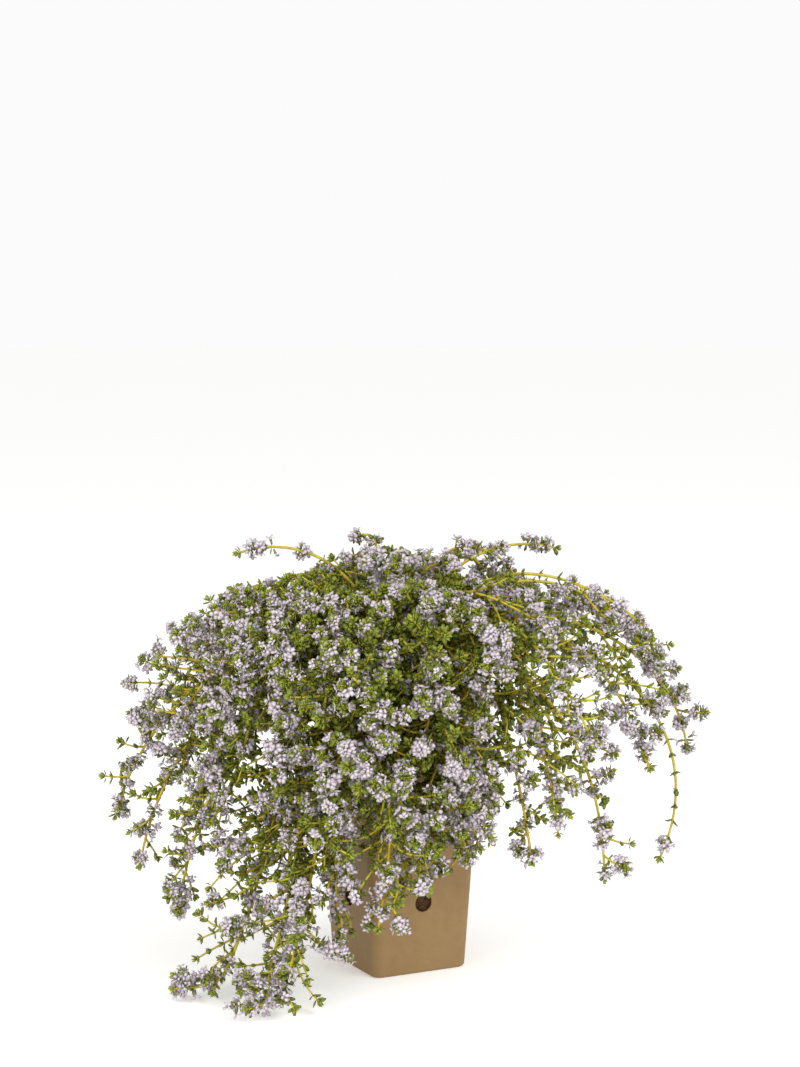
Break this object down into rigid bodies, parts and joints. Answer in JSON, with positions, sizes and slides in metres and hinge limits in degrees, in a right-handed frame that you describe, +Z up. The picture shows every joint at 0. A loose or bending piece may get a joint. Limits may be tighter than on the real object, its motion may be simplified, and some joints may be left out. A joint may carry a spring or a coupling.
{
  "type": "potted thyme",
  "caption": "Flowering thyme in a tall square tapered pot: leafy stems rise from the soil, arch over the rim and trail.",
  "frame": {"origin": "middle of the pot's flat underside, on the surface that the pot stands on", "axes": "+Z up the pot's axis; the pot's four faces look along +X, -X, +Y and -Y; the pictured front is the corner between -X and -Y"},
  "size_m": [0.3803, 0.3087, 0.2906],
  "materials": {
    "tan_pot": "matte",
    "dark_soil": "matte",
    "thyme_leaf": "satin",
    "thyme_bark": "satin",
    "thyme_flower": "matte"
  },
  "bodies": {
    "root": {"pot": "tan_pot", "soil": "dark_soil", "stem_01": "thyme_leaf", "stem_02": "thyme_leaf", "stem_03": "thyme_leaf", "stem_04": "thyme_leaf", "stem_05": "thyme_leaf", "stem_06": "thyme_leaf", "stem_07": "thyme_leaf", "stem_08": "thyme_leaf", "stem_09": "thyme_leaf", "stem_10": "thyme_leaf", "stem_11": "thyme_leaf", "stem_12": "thyme_leaf", "stem_13": "thyme_leaf", "stem_14": "thyme_leaf", "stem_15": "thyme_leaf", "stem_16": "thyme_leaf", "stem_17": "thyme_leaf", "stem_18": "thyme_leaf", "stem_19": "thyme_leaf", "stem_20": "thyme_leaf", "stem_21": "thyme_leaf", "stem_22": "thyme_leaf", "stem_23": "thyme_leaf", "stem_24": "thyme_leaf", "stem_25": "thyme_leaf", "stem_26": "thyme_leaf", "stem_27": "thyme_leaf", "stem_28": "thyme_leaf", "stem_29": "thyme_leaf", "stem_30": "thyme_leaf", "stem_31": "thyme_leaf", "stem_32": "thyme_leaf", "stem_33": "thyme_leaf", "stem_34": "thyme_leaf", "stem_35": "thyme_leaf", "stem_36": "thyme_leaf", "stem_37": "thyme_leaf", "stem_38": "thyme_leaf", "stem_39": "thyme_leaf", "stem_40": "thyme_leaf", "stem_41": "thyme_leaf", "stem_42": "thyme_leaf", "stem_43": "thyme_leaf", "stem_44": "thyme_leaf", "stem_45": "thyme_leaf", "stem_46": "thyme_leaf", "stem_47": "thyme_leaf", "stem_48": "thyme_leaf", "stem_49": "thyme_leaf", "stem_50": "thyme_leaf", "stem_51": "thyme_leaf", "stem_52": "thyme_leaf", "stem_53": "thyme_leaf"}
  },
  "joints": []
}
